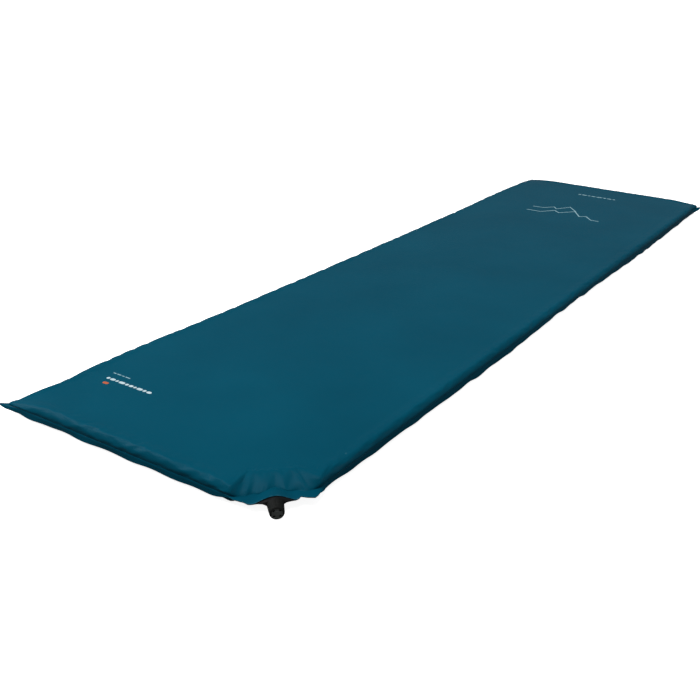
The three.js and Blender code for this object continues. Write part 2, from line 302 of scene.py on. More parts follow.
WAVE = weld_wave() * smoothstep((np.abs(ALONG) - 22) / 14)  # the valve's base holds the weld level
WAVE_AT_FOOT = 0.12  # the share of the wave that the foot of the side wall has
SWAY = 0.35 * ripple(3, ALONG, 45, 160)  # of the weld's edge, in the ground plane
HANG_ANGLE = 89 * DEG  # how steeply the weld hangs along the sides
BEND_SHARE = 0.08  # of the weld's width, over which it bends down


def weld_hang():
    """How steeply the weld hangs at each column: level round the valve and at the square corners' tips."""
    hang = smoothstep((-ALONG - 55) / 14) + smoothstep((ALONG - 60) / 18)
    for corner in EARS:
        away = np.linalg.norm(EDGE - CORNERS[corner], axis=1)
        hang *= smoothstep(away / 16)
    return HANG_ANGLE * hang * (1 + 0.06 * ripple(4, ALONG, 40, 130))


HANG = weld_hang()


def ears(points):
    """How the weld's tips at the corners stand off, by distance from each tip."""
    moved = np.zeros((len(points), 3))
    for corner, offset in EARS.items():
        near = np.exp(-((np.linalg.norm(points - CORNERS[corner], axis=1) / EAR_REACH) ** 2))
        moved += near[:, None] * np.array(offset, float)
    return moved


# The outline at many depths in, so that each point can be placed at a depth of its own.
DEPTH_STEP = 0.5
DEPTHS = np.arange(-3, TOP_INSETS[-1] + 5, DEPTH_STEP)
RADII = np.minimum(TIP_RADIUS + RADIUS_GROWTH * DEPTHS, BODY_RADIUS)
PLANS = np.array([outline(depth, radius)[0] for depth, radius in zip(DEPTHS, RADII)])


def at_depth(depth):
    """Each column's point in plan at its own depth in from the outline."""
    place = np.broadcast_to((depth - DEPTHS[0]) / DEPTH_STEP, COLUMNS)
    low = np.floor(place).astype(int)
    share = (place - low)[:, None]
    column = np.arange(COLUMNS)
    return PLANS[low, column] * (1 - share) + PLANS[low + 1, column] * share


def weld_section(foot):
    """The weld's own plane, from its edge in to the foot of the side wall. It hangs by HANG."""
    width = foot - pull_in - SWAY
    steps = 1 / (WELD_RINGS - 1)
    out, down = np.zeros(COLUMNS), np.zeros(COLUMNS)
    section = [(1, out, down, 0 * HANG)]
    for share in WELD_SHARES[-2::-1]:
        lean = HANG * smoothstep((1 - share - steps / 2) / BEND_SHARE)
        out = out + width * steps * np.cos(lean)
        down = down + width * steps * np.sin(lean)
        section.append((share, out, down, lean))
    return section[::-1]


def fullness(plan):
    """The share of the mat's height that is left near the square corners, which taper to the weld's tips."""
    left = np.ones(len(plan))
    for corner, sink in SINKS.items():
        away = np.linalg.norm(plan - CORNERS[corner], axis=1)
        left -= sink * np.exp(-((away / SINK_REACH) ** 2))
    return left


def over_base(depth):
    """The share of the lift that is left at a depth in from the edge."""
    return 1 - LIFT_LOSS * smoothstep((depth - BOAT_DEPTH) / LIFT_FADE)


def sheet_rings(side):
    """Rings of points over one sheet's outer face, from the weld inwards; side is 1 above, -1 below."""
    rings = []
    foot = WELD + set_back
    for share, out, down, lean in weld_section(foot):
        fade = (1 - share) ** 1.3
        depth = foot - out - side * FACE * np.sin(lean)
        plan = at_depth(depth)
        height = MID - down + side * (FACE * np.cos(lean) + lift * over_base(depth))
        height += WAVE * (WAVE_AT_FOOT + (1 - WAVE_AT_FOOT) * fade) + droop * fade
        rings.append(np.column_stack([plan, height]) + ears(plan) * (EAR_HOLD + (1 - EAR_HOLD) * fade))
    for turn in WALL_TURNS:
        angle = turn * 90 * DEG
        power = wall_power if side > 0 else np.minimum(wall_power, UNDER_POWER)
        reach = wall_run if side > 0 else wall_run + UNDER_RUN
        run = 1 - np.maximum(0, math.cos(angle)) ** (2 / power)
        rise = math.sin(angle) ** (2 / power)
        out = bulge * np.sin(np.minimum(1, 2 * rise) * 90 * DEG) if side > 0 else 0
        plan = at_depth(foot + reach * run - out)
        left = lift * over_base(foot) * (1 - rise)
        flat = face_height(*plan.T) - MID if side > 0 else MID
        full = fullness(plan)
        height = MID + side * (FACE + (flat - FACE) * rise * full + left)
        height += WAVE_AT_FOOT * WAVE * (1 - rise)
        rings.append(np.column_stack([plan, height]) + ears(plan) * EAR_HOLD)
    for inset in TOP_INSETS:
        extra = wall_end + (-bulge if side > 0 else UNDER_RUN) - WELD - EDGE_RUN
        gone = (inset - WELD - EDGE_RUN) / (TOP_INSETS[-1] - WELD - EDGE_RUN)
        plan = at_depth(inset + extra * (1 - gone))
        full = fullness(plan)
        height = MID + (face_height(*plan.T) - MID) * full if side > 0 else MID * (1 - full)
        rings.append(np.column_stack([plan, height]) + ears(plan) * EAR_HOLD)
    return np.array(rings)


# ---------------------------------------------------------------- meshes


def link(obj):
    bpy.context.scene.collection.objects.link(obj)
    return obj


def make_object(name, points, faces, flat=None, sharp=40):
    """An object from points in millimetres. flat gives each point's place on the cloth, in millimetres."""
    data = bpy.data.meshes.new(name)
    data.from_pydata((np.asarray(points) * MM).tolist(), [], faces)
    data.update()
    data.shade_smooth()
    data.set_sharp_from_angle(angle=sharp * DEG)
    if flat is not None:
        corner_points = np.zeros(len(data.loops), int)
        data.loops.foreach_get("vertex_index", corner_points)
        layer = data.uv_layers.new(name="cloth")
        layer.data.foreach_set("uv", (flat[corner_points] * MM).ravel())
    return link(bpy.data.objects.new(name, data))


def set_attribute(obj, name, values):
    attribute = obj.data.attributes.new(name, "FLOAT", "POINT")
    attribute.data.foreach_set("value", np.asarray(values, np.float32))


def ring_faces(rings, count):
    """Quads between rings of count points each, facing up for anticlockwise rings that go inwards."""
    faces = []
    for start in range(0, (rings - 1) * count, count):
        for i in range(count):
            j = (i + 1) % count
            faces.append((start + i, start + j, start + count + j, start + count + i))
    return faces


def point_normals(points, faces):
    data = bpy.data.meshes.new("scratch")
    data.from_pydata(np.asarray(points).tolist(), [], faces)
    data.update()
    normals = np.zeros(len(points) * 3)
    data.vertices.foreach_get("normal", normals)
    bpy.data.meshes.remove(data)
    return normals.reshape(-1, 3)


FILL_GRID = 15
FILL_CLEAR = 8  # from the innermost ring


def fill_inside(ring):
    """Points on a grid inside the innermost ring, and the triangles that join them to it."""
    xs = np.arange(-HALF_W, HALF_W, FILL_GRID)
    ys = np.arange(-HALF_L, HALF_L, FILL_GRID)
    grid = np.array([(x + FILL_GRID / 3 * (k % 2), y) for k, y in enumerate(ys) for x in xs])
    for k, corner in enumerate(CORNERS):
        grid = grid[(corner - grid) @ edge_normal(k) > TOP_INSETS[-1] + FILL_CLEAR]
    count = len(ring)
    loop = [(i, (i + 1) % count) for i in range(count)]
    coords = [Vector(p) for p in np.vstack([ring[:, :2], grid])]
    found, _, faces, sources, _, _ = delaunay_2d_cdt(coords, loop, [], 1, 1e-4)
    back = [sources[i][0] for i in range(len(found))]
    return grid, [tuple(back[i] for i in face) for face in faces]


# ---------------------------------------------------------------- the side walls, blown up

PRESSURE = 4
SLACK = -0.006  # how much the cloth shrinks: it grows by this share, so it wrinkles
PUCKER = 0.12  # how uneven the wall is before it is blown up
MOST_MOVE = 1.2
FRAMES = 20


def blown_up(rings, side, seed):
    """The rings after the wall has been inflated as cloth, held at the weld and at the flat face."""
    count = len(rings)
    faces = ring_faces(count, COLUMNS)
    if side < 0:
        faces = [face[::-1] for face in faces]
    start = rings.reshape(-1, 3)
    normals = point_normals(start, faces).reshape(rings.shape)
    seeded = rings.copy()
    for ring in range(WELD_RINGS, WALL_RINGS):
        pucker = PUCKER * ripple(seed + ring // 3, ALONG, 22, 60)
        seeded[ring] += normals[ring] * pucker[:, None]
    cloth = make_object("blown_wall", seeded.reshape(-1, 3), faces)
    held = cloth.vertex_groups.new(name="held")
    still = [r for r in range(count) if r < WELD_RINGS or r > WALL_RINGS]
    held.add([r * COLUMNS + i for r in still for i in range(COLUMNS)], 1, "REPLACE")
    modifier = cloth.modifiers.new("cloth", "CLOTH")
    fabric_settings = modifier.settings
    fabric_settings.quality = 5
    fabric_settings.mass = 0.02
    fabric_settings.tension_stiffness = 15
    fabric_settings.compression_stiffness = 15
    fabric_settings.shear_stiffness = 5
    fabric_settings.bending_stiffness = 0.5
    fabric_settings.shrink_min = SLACK
    fabric_settings.use_pressure = True
    fabric_settings.uniform_pressure_force = PRESSURE
    fabric_settings.vertex_group_mass = "held"
    fabric_settings.effector_weights.gravity = 0
    modifier.collision_settings.use_collision = False
    modifier.point_cache.frame_start = 1
    modifier.point_cache.frame_end = FRAMES
    for step in range(1, FRAMES + 1):
        bpy.context.scene.frame_set(step)
    moved = cloth.evaluated_get(bpy.context.evaluated_depsgraph_get()).data
    after = np.zeros(len(start) * 3)
    moved.vertices.foreach_get("co", after)
    bpy.context.scene.frame_set(1)
    bpy.data.objects.remove(cloth)
    move = after.reshape(-1, 3) / MM - start
    size = np.linalg.norm(move, axis=1, keepdims=True)
    move *= MOST_MOVE * np.tanh(size / MOST_MOVE) / np.maximum(size, 1e-9)
    result = (start + move).reshape(rings.shape)
    result[:, :, 2] = np.clip(result[:, :, 2], 0, None)
    return result


# ---------------------------------------------------------------- the mat's pieces


def flat_places(rings):
    """Each point's place on the cloth laid flat, measured outwards from the innermost ring."""
    steps = np.linalg.norm(rings[:-1] - rings[1:], axis=2)
    outwards = np.vstack([np.cumsum(steps[::-1], axis=0)[::-1], np.zeros(COLUMNS)])
    return rings[-1][:, :2] + NORMAL * outwards[:, :, None]


def sheet_piece(name, rings, side, grid, fill):
    """One sheet as a thin closed solid: its outer face, its inner face and the rim where it was cut."""
    count = len(rings)
    heights = face_height(*grid.T) if side > 0 else np.zeros(len(grid))
    outer = np.vstack([rings.reshape(-1, 3), np.column_stack([grid, heights])])
    last = (count - 1) * COLUMNS
    faces = ring_faces(count, COLUMNS) + [tuple(last + i for i in face) for face in fill]
    if side < 0:
        faces = [face[::-1] for face in faces]
    inner = outer - CLOTH * point_normals(outer, faces)
    under = len(outer)
    rim = [((i + 1) % COLUMNS, i, under + i, under + (i + 1) % COLUMNS) for i in range(COLUMNS)]
    if side < 0:
        rim = [face[::-1] for face in rim]
    faces += [tuple(under + i for i in face[::-1]) for face in faces] + rim
    flat = np.vstack([flat_places(rings).reshape(-1, 2), grid])
    piece = make_object(name, np.vstack([outer, inner]), faces, np.vstack([flat, flat]))
    welded = np.zeros(len(outer))
    # The weld mark fades out over the wall's foot and first ring, so the weld's darker tint, partly painted
    # shade, runs into the crease there.
    fade = np.concatenate([np.ones(WELD_RINGS - 1), [0.6, 0.15]])
    welded[: len(fade) * COLUMNS] = np.repeat(fade, COLUMNS)
    cut = np.zeros(len(outer))
    cut[:COLUMNS] = 1
    set_attribute(piece, "weld", np.concatenate([welded, welded]))
    set_attribute(piece, "cut_edge", np.concatenate([cut, np.ones(len(outer))]))
    return piece


FOAM_FROM = WELD_RINGS + 6  # the ring of the wall where the foam's square rim begins


def foam_piece(name, above, below):
    """The foam slab, cut square at its rim and lying close inside both sheets."""
    skin = CLOTH + FOAM_GAP
    halves = []
    for rings, side in ((below, -1), (above, 1)):
        faces = ring_faces(len(rings), COLUMNS)
        if side < 0:
            faces = [face[::-1] for face in faces]
        normals = point_normals(rings.reshape(-1, 3), faces).reshape(rings.shape)
        halves.append((rings - normals * skin)[FOAM_FROM:])
    lower, upper = halves
    rings = np.vstack([lower[::-1], upper])
    around = rings.shape[1]
    faces = ring_faces(len(rings), around)
    points = [rings.reshape(-1, 3)]
    total = len(points[0])
    for ring, side in ((len(rings) - 1, 1), (0, -1)):
        grid, fill = fill_inside(rings[ring])
        heights = face_height(*grid.T) - skin if side > 0 else np.full(len(grid), skin)
        points.append(np.column_stack([grid, heights]))
        for face in fill:
            at = tuple(ring * around + i if i < around else total + i - around for i in face)
            faces.append(at if side > 0 else at[::-1])
        total += len(grid)
    return make_object(name, np.vstack(points), faces)


# ---------------------------------------------------------------- the valve's pieces
# Their own axes: +X along the cut edge, +Y out along the valve, +Z up.

VALVE_SIDE = np.cross(VALVE_OUT, [0, 0, 1])
BASE_COLUMNS = 96
BASE_FRONT = 6.4  # its round front face, out from the weld's edge
BASE_BORE = 4.7
BASE_ROUND = 0.25  # how far its rounded lip stands out
# Sections of the soft base: place along the axis, half width, half height, and the power that thins
# its wings.
BASE_SECTIONS = np.array(
    [
        [-14, 17, 5.2, 2],
        [-12, 22, 5.6, 3],
        [-4, 25.5, 5.6, 4],
        [0.6, 24.5, 5.6, 4],
        [2.4, 18, 6.2, 2.6],
        [4.2, 12.5, 7.8, 1.5],
        [5.2, 9.9, 9.1, 1.05],
        [BASE_FRONT, 9.4, 9.2, 1],
    ]
)


def in_place(points):
    """Points in the valve's own axes, moved to where it is on the mat."""
    x, y, z = np.asarray(points, float).reshape(-1, 3).T[:, :, None]
    return VALVE + x * VALVE_SIDE + y * VALVE_OUT + z * np.array([0, 0, 1])


def turned_rings(radii, heights, columns):
    """Rings about +Y; a radius or a height may differ from point to point."""
    angles = 2 * math.pi * np.arange(columns) / columns
    rings = []
    for radius, height in zip(radii, heights):
        radius = np.broadcast_to(radius, columns)
        height = np.broadcast_to(height, columns)
        rings.append(np.column_stack([radius * np.sin(angles), height, radius * np.cos(angles)]))
    return np.array(rings)


def faces_out(obj):
    """Turns every face of a closed mesh outwards."""
    mesh = bmesh.new()
    mesh.from_mesh(obj.data)
    bmesh.ops.recalc_face_normals(mesh, faces=mesh.faces)
    mesh.to_mesh(obj.data)
    mesh.free()
    return obj


def valve_base(name):
    """The soft moulding that is welded between the sheets: two thin wings and a round neck."""
    stretches = (-14, -12, 5), (-11, 0, 8), (0.4, BASE_FRONT, 22)
    places = np.concatenate([np.linspace(*stretch) for stretch in stretches])
    place, *shape = BASE_SECTIONS.T
    half, rise, power = (curve(np.column_stack([place, values]), places) for values in shape)
    angles = 2 * math.pi * np.arange(BASE_COLUMNS) / BASE_COLUMNS
    sine, cosine = np.sin(angles), np.cos(angles)
    rings = []
    for at, across, up, thin in zip(places, half, rise, power):
        height = up * np.sign(cosine) * np.abs(cosine) ** thin
        rings.append(np.column_stack([across * sine, np.full(BASE_COLUMNS, at), height]))
    front = rings[-1] * [0.96, 1, 0.96] + [0, BASE_ROUND, 0]
    lip = front * [0.9, 1, 0.9]
    back = BASE_SECTIONS[0, 0]
    bore = turned_rings([BASE_BORE, BASE_BORE], [BASE_FRONT + BASE_ROUND, back], BASE_COLUMNS)
    rings = np.array(rings + [front, lip, *bore])
    faces = ring_faces(len(rings), BASE_COLUMNS)
    last = (len(rings) - 1) * BASE_COLUMNS
    for i in range(BASE_COLUMNS):
        j = (i + 1) % BASE_COLUMNS
        faces.append((last + i, last + j, j, i))
    return faces_out(make_object(name, in_place(rings), faces, sharp=50))


CAP_COLUMNS = 192
CAP_START = 8  # its open end, out from the weld's edge
CAP_END = 27.2
CAP_RADIUS = 10.4
CAP_WALL = 2.6
CAP_EDGE = 0.6  # radius of the rounding at the open end
CAP_SHOULDER = 24  # where the side starts to round over
SHOULDER_RADIUS = 9.45
FACE_RADIUS = 6.7  # where the rounding meets the end face
FACE_SUNK = 0.35
HUB_RADIUS = 3.5
HUB_RISE = 0.3
HUB_ROUND = 0.25
SLOT_MIDDLE = 5.45
SLOT_HALF = 1.1
SLOT_TIP = 0.35  # half its width at its round ends
SLOTS = 4
SLOT_COLUMNS = 9  # each side of a slot's middle
FLUTES = 12
FLUTE_HALF = 1.5
FLUTE_DEPTH = 0.25
BOSS_RADIUS = 4.2  # the boss under the hub, which the gasket sits against
BOSS_END = 23.0
STUD_RADIUS = 1.5  # the stud that holds the gasket, and its head
STUD_END = 20.9
STUD_HEAD = 2.4
THREAD = {
    "bore": 7.6, "depth": 0.8, "half": 0.75, "flank": 0.35,
    "lead": 3, "from": 12, "turns": (-366, 246),
}  # fmt: skip


def arc(centre, reach, start, end, steps):
    """Points [radius, height] on an ellipse, by angle from the radial direction."""
    angles = np.linspace(start, end, steps) * DEG
    return np.column_stack([centre[0] + reach[0] * np.cos(angles), centre[1] + reach[1] * np.sin(angles)])


def slot_width(column):
    """Half the slot's width at a column, narrowing at its round ends."""
    spacing = CAP_COLUMNS // SLOTS
    place = np.abs((column % spacing) - spacing / 2) / SLOT_COLUMNS
    inside = SLOT_TIP + (SLOT_HALF - SLOT_TIP) * np.sqrt(np.clip(1 - place**4, 0, 1))
    return np.where(place <= 1, inside, SLOT_HALF)


def thread_groove(height):
    """How deep the thread is cut into the bore at a height, all round."""
    angles = 360 * np.arange(CAP_COLUMNS) / CAP_COLUMNS
    turns = np.round((height - THREAD["from"]) / THREAD["lead"] - angles / 360)
    total = angles + 360 * turns
    middle = THREAD["from"] + THREAD["lead"] * total / 360
    cut = 1 - smoothstep((np.abs(height - middle) - THREAD["half"]) / THREAD["flank"])
    first, last = THREAD["turns"]
    return THREAD["depth"] * cut * ((total >= first) & (total <= last))


def cap_outside():
    """Radii and heights over the cap's outside, from its open end to the rim of the end face."""
    grip_start = CAP_START + CAP_EDGE
    edge = arc((CAP_RADIUS - CAP_EDGE, grip_start), (CAP_EDGE, CAP_EDGE), -90, 0, 5)
    grip = np.linspace((CAP_RADIUS, grip_start), (SHOULDER_RADIUS, CAP_SHOULDER), 26)[1:]
    rounding = (SHOULDER_RADIUS - FACE_RADIUS, CAP_END - CAP_SHOULDER)
    shoulder = arc((FACE_RADIUS, CAP_SHOULDER), rounding, 5, 90, 14)
    angles = 2 * math.pi * np.arange(CAP_COLUMNS) / CAP_COLUMNS
    from_flute = np.abs((angles * FLUTES / (2 * math.pi) + 0.5) % 1 - 0.5) * 2 * math.pi / FLUTES * CAP_RADIUS
    flute = FLUTE_DEPTH * bump(from_flute, FLUTE_HALF)
    radii, heights = [], []
    for radius, height in (*edge, *grip, *shoulder):
        radii.append(radius - flute * between(height, CAP_START + 2.2, 1.5, CAP_SHOULDER + 0.6, 2))
        heights.append(height)
    return radii, heights


def valve_cap(name):
    """The screw cap: a fluted, tapering cup with four slots round the hub of its end, and a thread inside."""
    columns = np.arange(CAP_COLUMNS)
    width = slot_width(columns)
    floor = CAP_END - FACE_SUNK
    radii, heights = cap_outside()
    slot = [SLOT_MIDDLE + width, SLOT_MIDDLE, SLOT_MIDDLE - width]
    radii += [FACE_RADIUS - 0.12, *slot, 4.3, HUB_RADIUS + 0.35]
    heights += [CAP_END - 0.08, floor, floor, floor, floor, floor]
    hub = arc((HUB_RADIUS - 0.4, floor + HUB_RISE), (0.4, HUB_ROUND), 0, 90, 5)
    hub_top = floor + HUB_RISE + HUB_ROUND
    dome = [[radius, hub_top + 0.12 * (1 - (radius / 3) ** 2)] for radius in (2.4, 1.4, 0.5)]
    radii += [HUB_RADIUS, *hub[:, 0], *[r for r, _ in dome]]
    heights += [floor + 0.08, *hub[:, 1], *[h for _, h in dome]]
    outer = turned_rings(radii, heights, CAP_COLUMNS)
    outer_slot = len(cap_outside()[0]) + 1

    inside = CAP_END - CAP_WALL
    thread_end = THREAD["from"] + THREAD["lead"] * THREAD["turns"][1] / 360 + 2
    radii, heights = [THREAD["bore"] + 0.7], [CAP_START]
    for height in np.arange(CAP_START + 0.6, thread_end, 0.25):
        radii.append(THREAD["bore"] + thread_groove(height))
        heights.append(height)
    radii += [7.2, 7.2, 6.9]
    heights += [thread_end + 0.4, inside - 0.3, inside]
    inner_slot = len(radii)
    radii += [*slot, BOSS_RADIUS, BOSS_RADIUS, STUD_RADIUS, STUD_RADIUS, STUD_HEAD, STUD_HEAD, 1.2]
    heights += [inside, inside, inside, inside, BOSS_END, BOSS_END]
    heights += [STUD_END, STUD_END, STUD_END - 0.2, STUD_END - 0.7]
    inner = turned_rings(radii, heights, CAP_COLUMNS)

    points = np.vstack([outer.reshape(-1, 3), inner.reshape(-1, 3)])
    start = len(outer) * CAP_COLUMNS
    spacing = CAP_COLUMNS // SLOTS
    in_slot = np.abs((columns + 0.5) % spacing - spacing / 2) < SLOT_COLUMNS
    faces = []
    for offset, rings, first in ((0, len(outer), outer_slot), (start, len(inner), inner_slot)):
        for index, face in enumerate(ring_faces(rings, CAP_COLUMNS)):
            ring, column = divmod(index, CAP_COLUMNS)
            if not (first <= ring < first + 2 and in_slot[column]):
                faces.append(tuple(offset + i for i in face))

    def across(ring, column, next_ring, next_column):
        """The face of a slot's wall that joins two points of the outside to the same two inside."""
        outside = [(outer_slot + r) * CAP_COLUMNS for r in (ring, next_ring)]
        within = [start + (inner_slot + r) * CAP_COLUMNS for r in (next_ring, ring)]
        ends = [column % CAP_COLUMNS, next_column % CAP_COLUMNS]
        return (outside[0] + ends[0], outside[1] + ends[1], within[0] + ends[1], within[1] + ends[0])

    for column in columns:
        if in_slot[column]:
            faces += [across(ring, column, ring, column + 1) for ring in (0, 2)]
        if in_slot[column] != in_slot[column - 1]:
            faces += [across(ring, column, ring + 1, column) for ring in (0, 1)]
    for i in range(CAP_COLUMNS):
        j = (i + 1) % CAP_COLUMNS
        faces.append((i, j, start + j, start + i))
    for last in (start - CAP_COLUMNS, len(points) - CAP_COLUMNS):
        pole = len(points)
        points = np.vstack([points, [[0, points[last][1], 0]]])
        for i in range(CAP_COLUMNS):
            faces.append((last + i, last + (i + 1) % CAP_COLUMNS, pole))
    cap = make_object(name, in_place(points), faces, sharp=38)
    # end_face marks the flat end face, which the cap's material paints lighter as painted light.
    on_end = points[:, 1] > CAP_END - FACE_SUNK - 0.1
    set_attribute(cap, "end_face", on_end * smoothstep((7.2 - np.hypot(points[:, 0], points[:, 2])) / 0.7))
    return faces_out(cap)


# ---------------------------------------------------------------- printed marks
# Plain bars, dashes and a ridge line, as thin ink on the top face.

INK = 0.12  # how far the ink stands on the cloth
INK_ROOT = 0.1


def outline_prism(points):
    """A thin closed prism on the top face, from its plan as an anticlockwise outline about its middle."""
    points = np.asarray(points, float)
    height = face_height(*points.T)
    middle = points.mean(axis=0)
    level = face_height(*middle)
    top = np.column_stack([points, height + INK])
    root = np.column_stack([points, height - INK_ROOT])
    count = len(points)
    ends = [[*middle, level + INK], [*middle, level - INK_ROOT]]
    faces = []
    for i in range(count):
        j = (i + 1) % count
        faces += [(i, j, 2 * count), (count + j, count + i, 2 * count + 1), (j, i, count + i, count + j)]
    return np.vstack([top, root, ends]), faces


def rounded_bar(middle, length, width, lean=0.0):
    """The outline of a bar with round ends that lies along X, turned by lean degrees."""
    radius = width / 2
    points = []
    for end, start in ((1, -90), (-1, 90)):
        for angle in np.linspace(start, start + 180, 9) * DEG:
            points.append([end * (length / 2 - radius) + radius * math.cos(angle), radius * math.sin(angle)])
    cosine, sine = math.cos(lean * DEG), math.sin(lean * DEG)
    return np.array(points) @ np.array([[cosine, sine], [-sine, cosine]]) + middle


def printed(name, outlines):
    points, faces = [], []
    total = 0
    for outline_points in outlines:
        prism, prism_faces = outline_prism(outline_points)
        points.append(prism)
        faces += [tuple(total + i for i in face) for face in prism_faces]
        total += len(prism)
    return make_object(name, np.vstack(points), faces, sharp=50)


def bar_row(start, lengths, gap, width):
    """A row of bars along +X from a point."""
    bars = []
    x, y = start
    for length in lengths:
        bars.append(rounded_bar((x + length / 2, y), length, width))
        x += length + gap
    return bars


def line_bars(points, width):
    """Bars end to end along a line with corners."""
    bars = []
    for a, b in zip(points[:-1], points[1:]):
        a, b = np.array(a, float), np.array(b, float)
        step = b - a
        length = np.linalg.norm(step) + width
        bars.append(rounded_bar((a + b) / 2, length, width, math.degrees(math.atan2(step[1], step[0]))))
    return bars


RIDGE_LINE = [
    (-100, 548), (-62, 548), (-36, 582), (-18, 566), (12, 604), (40, 562), (54, 574), (76, 548), (96, 548),
]  # fmt: skip
RIDGE_BACK = [(-100, 590), (-70, 592), (-52, 616), (-38, 600), (-16, 640), (14, 604)]


# ---------------------------------------------------------------- materials


def tint(red, green, blue):
    """An sRGB colour out of 255 as linear RGBA."""
    shares = [part / 255 for part in (red, green, blue)]
    linear = [c / 12.92 if c < 0.04 else ((c + 0.055) / 1.055) ** 2.4 for c in shares]
    return (*linear, 1)


class Look:
    """A material and short calls that add nodes to it."""

    def __init__(self, name):
        self.material = bpy.data.materials.new(name)
        self.material.use_nodes = True
        self.tree = self.material.node_tree
        self.tree.nodes.clear()

    def node(self, kind, inputs=None, **settings):
        made = self.tree.nodes.new("ShaderNode" + kind)
        for key, value in settings.items():
            setattr(made, key, value)
        for key, value in (inputs or {}).items():
            if isinstance(value, bpy.types.NodeSocket):
                self.tree.links.new(value, made.inputs[key])
            else:
                made.inputs[key].default_value = value
        return made

    def math(self, operation, a, b=0.0):
        return self.node("Math", {0: a, 1: b}, operation=operation).outputs[0]

    def mix(self, share, a, b):
        made = self.node("Mix", {0: share, 6: a, 7: b}, data_type="RGBA")
        return made.outputs[2]

    def noise(self, place, scale, detail=2.0, rough=0.5):
        made = self.node("TexNoise", {"Vector": place, "Scale": scale, "Detail": detail, "Roughness": rough})
        return made.outputs["Fac"]

    def ramp(self, value, low, high, to_low=0.0, to_high=1.0):
        made = self.node("MapRange", {0: value, 1: low, 2: high, 3: to_low, 4: to_high})
        return made.outputs[0]

    def attribute(self, name):
        return self.node("Attribute", attribute_name=name).outputs["Fac"]

    def bump(self, height, distance, strength=1.0, normal=None):
        inputs = {"Height": height, "Distance": distance, "Strength": strength}
        if normal is not None:
            inputs["Normal"] = normal
        return self.node("Bump", inputs).outputs[0]

    def object_place(self, stretch=(1, 1, 1)):
        place = self.node("TexCoord").outputs["Object"]
        return self.node("Mapping", {"Vector": place, "Scale": stretch}).outputs[0]

    def finish(self, **sockets):
        shader = self.node("BsdfPrincipled", {key.replace("_", " "): value for key, value in sockets.items()})
        output = self.node("OutputMaterial")
        self.tree.links.new(shader.outputs[0], output.inputs["Surface"])
        return self.material


YARN = 0.00032  # metres from one yarn to the next


def weave(look, pitch=YARN):
    """Height and crossings of a plain weave on the flat cloth, from about -1 to 1."""
    place = look.node("UVMap", uv_map="cloth").outputs[0]
    split = look.node("SeparateXYZ", {0: place})
    across = look.math("SINE", look.math("MULTIPLY", split.outputs[0], math.pi / pitch))
    along = look.math("SINE", look.math("MULTIPLY", split.outputs[1], math.pi / pitch))
    return place, look.math("MULTIPLY", across, along)


def fabric(name, body, light, dark, weld_tone_and_shade, roughness):
    """Coated polyester: plain weave, faint mottling and bands from being rolled. The fourth colour tints the
    weld darker, partly the pressed seam's own tone and partly painted shade on the hanging weld and the
    crease at its foot.
    """
    look = Look(name)
    place, crossing = weave(look)
    cloud = look.noise(look.object_place(), 5.0, 3.0, 0.55)
    bands = look.noise(look.object_place((0.9, 7.0, 1.0)), 1.6, 2.0)
    fibre = look.noise(place, 2600.0, 2.0, 0.6)
    streaks = look.noise(look.node("Mapping", {"Vector": place, "Scale": (40, 900, 1)}).outputs[0], 1.0, 1.0)
    welded = look.attribute("weld")
    cut = look.attribute("cut_edge")
    colour = look.mix(look.ramp(cloud, 0.3, 0.7), dark, light)
    colour = look.mix(look.ramp(bands, 0.35, 0.65, 0.0, 0.3), colour, body)
    colour = look.mix(look.ramp(fibre, 0.3, 0.7, 0.0, 0.22), colour, light)
    colour = look.mix(look.ramp(streaks, 0.4, 0.7, 0.0, 0.12), colour, dark)
    # The weave's low points are tinted darker: painted shade in the hollows between yarns.
    colour = look.mix(look.ramp(crossing, -1.0, 1.0, 0.16, 0.0), colour, dark)
    # The weld is tinted darker: partly the seam's own tone, partly painted shade.
    colour = look.mix(look.math("MULTIPLY", welded, 0.5), colour, weld_tone_and_shade)
    frayed = look.math("MULTIPLY", look.ramp(look.noise(place, 700.0), 0.45, 0.6), cut)
    colour = look.mix(look.math("MULTIPLY", frayed, 0.5), colour, tint(70, 118, 130))
    rough = look.ramp(fibre, 0.2, 0.8, roughness - 0.05, roughness + 0.06)
    rough = look.math("SUBTRACT", rough, look.math("MULTIPLY", welded, 0.1))
    soft = look.bump(bands, 0.0012, 0.25)
    soft = look.bump(cloud, 0.0008, 0.3, soft)
    normal = look.bump(crossing, 0.00004, 0.5, soft)
    normal = look.bump(fibre, 0.00003, 0.4, normal)
    return look.finish(
        Base_Color=colour,
        Roughness=rough,
        Normal=normal,
        Specular_IOR_Level=0.027,
        Sheen_Weight=0.015,
        Sheen_Roughness=0.25,
        Sheen_Tint=tint(90, 170, 195),
    )


def moulded(name, body, light, roughness, grain, specular, end=None):
    """Moulded plastic or rubber, finely textured, with rubbed high spots. end tints a cap's end face lighter,
    as painted light.
    """
    look = Look(name)
    place = look.object_place()
    fine = look.noise(place, grain, 3.0, 0.6)
    broad = look.noise(place, 160.0, 2.0)
    scuff = look.noise(look.object_place((1, 1, 3.5)), 420.0, 3.0, 0.65)
    edges = look.ramp(look.node("NewGeometry").outputs["Pointiness"], 0.5, 0.56)
    colour = look.mix(look.ramp(broad, 0.35, 0.65, 0.0, 0.5), body, light)
    colour = look.mix(look.math("MULTIPLY", edges, 0.15), colour, light)
    colour = look.mix(look.ramp(scuff, 0.58, 0.72, 0.0, 0.35), colour, light)
    # The cap's end face is painted lighter: painted light, as if lit from the front.
    if end:
        painted_lit_end = look.mix(look.ramp(broad, 0.3, 0.7, 0.0, 0.3), end, light)
        colour = look.mix(look.attribute("end_face"), colour, painted_lit_end)
    rough = look.ramp(fine, 0.3, 0.7, roughness - 0.06, roughness + 0.08)
    normal = look.bump(fine, 0.00008, 0.6)
    return look.finish(Base_Color=colour, Roughness=rough, Normal=normal, Specular_IOR_Level=specular)


